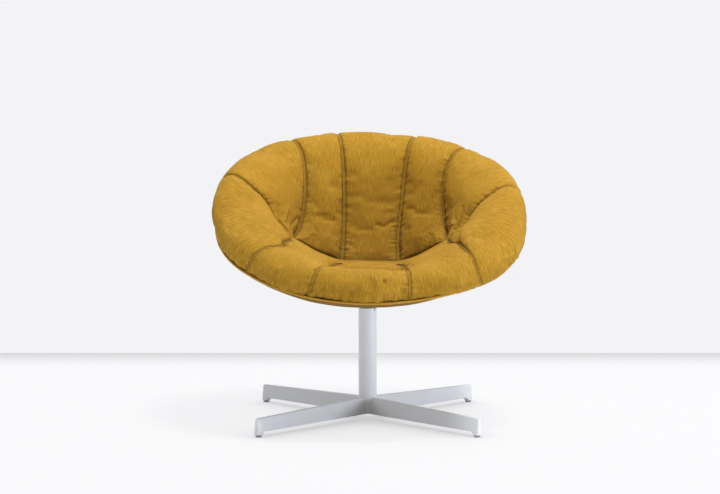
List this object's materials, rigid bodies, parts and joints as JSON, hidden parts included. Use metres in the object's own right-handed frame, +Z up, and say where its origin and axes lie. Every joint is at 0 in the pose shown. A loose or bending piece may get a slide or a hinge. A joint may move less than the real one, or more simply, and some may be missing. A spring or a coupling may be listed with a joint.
{
  "type": "swivel armchair",
  "caption": "Low swivel armchair: a round stuffed tub seat, sewn in radial sections, on a slim column and a star foot of tapered cast arms.",
  "frame": {"origin": "on the floor, on the axis of the column", "axes": "+X to the sitter's left, +Y to the back of the seat, +Z up"},
  "size_m": [0.7622, 0.6901, 0.6911],
  "materials": {
    "pad_fabric": "woven wool-blend cloth, mustard",
    "cover_fabric": "woven wool-blend cloth, mustard",
    "piping_fabric": "cloth-covered cord, mustard",
    "shell_plastic": "moulded polypropylene, fine texture",
    "glide_nylon": "moulded nylon, dark grey",
    "cast_foot_paint": "powder-coated die-cast aluminium, fine satin, pale grey",
    "column_paint": "powder-coated steel tube, fine satin, pale grey",
    "bush_acetal": "moulded acetal, black",
    "insert_brass": "turned brass",
    "bearing_steel": "ground bearing steel",
    "zinc_steel": "zinc-plated steel"
  },
  "bodies": {
    "pedestal": {"star_base": "cast_foot_paint", "foot_glide_left_back": "glide_nylon", "foot_glide_right_back": "glide_nylon", "foot_glide_right_front": "glide_nylon", "foot_glide_left_front": "glide_nylon", "column_tube": "column_paint", "column_plug": "zinc_steel", "hub_bolt": "zinc_steel", "hub_washer": "zinc_steel", "upper_bush": "bush_acetal", "lower_bush": "bush_acetal", "lower_race": "bearing_steel", "bearing_cage": "insert_brass", "bearing_balls": "bearing_steel"},
    "seat": {"edge_piping": "piping_fabric", "end_washer": "zinc_steel", "outer_cover": "cover_fabric", "pad_arm_front_left": "pad_fabric", "pad_arm_front_right": "pad_fabric", "pad_arm_rear_left": "pad_fabric", "pad_arm_rear_right": "pad_fabric", "pad_back_centre": "pad_fabric", "pad_back_left": "pad_fabric", "pad_back_right": "pad_fabric", "pad_front_centre": "pad_fabric", "pad_front_left": "pad_fabric", "pad_front_right": "pad_fabric", "plate_screws": "zinc_steel", "plate_washers": "zinc_steel", "retaining_ring": "zinc_steel", "seat_centre_pad": "pad_fabric", "seat_plate": "zinc_steel", "seat_shell": "shell_plastic", "spindle": "zinc_steel", "threaded_inserts": "insert_brass", "upper_race": "bearing_steel"}
  },
  "joints": [
    {"name": "seat_swivel", "type": "hinge", "parent": "pedestal", "child": "seat", "pos_m": [0, 0, 0.28], "axis": [0, 0, 1], "continuous": true}
  ]
}
